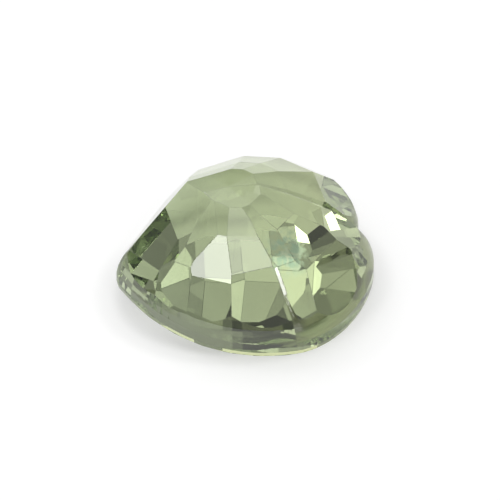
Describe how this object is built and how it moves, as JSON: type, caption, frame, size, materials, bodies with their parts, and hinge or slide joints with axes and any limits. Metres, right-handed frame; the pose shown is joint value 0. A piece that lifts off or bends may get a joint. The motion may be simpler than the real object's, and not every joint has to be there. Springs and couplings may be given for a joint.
{
  "type": "heart cut gemstone",
  "caption": "Loose heart cut sapphire in pale sage green, lying on its table with the faceted pavilion up.",
  "frame": {"origin": "on the table's plane, under the middle of the stone's outline", "axes": "+Z from the table up to the culet, +Y from the tip of the heart towards the cleft, +X towards the fuller lobe"},
  "size_m": [0.0068, 0.0068, 0.0037],
  "materials": {
    "green_sapphire": "polished clear crystal, pale sage green, refractive index 1.77"
  },
  "bodies": {
    "root": {"heart_sapphire": "green_sapphire"}
  },
  "joints": []
}
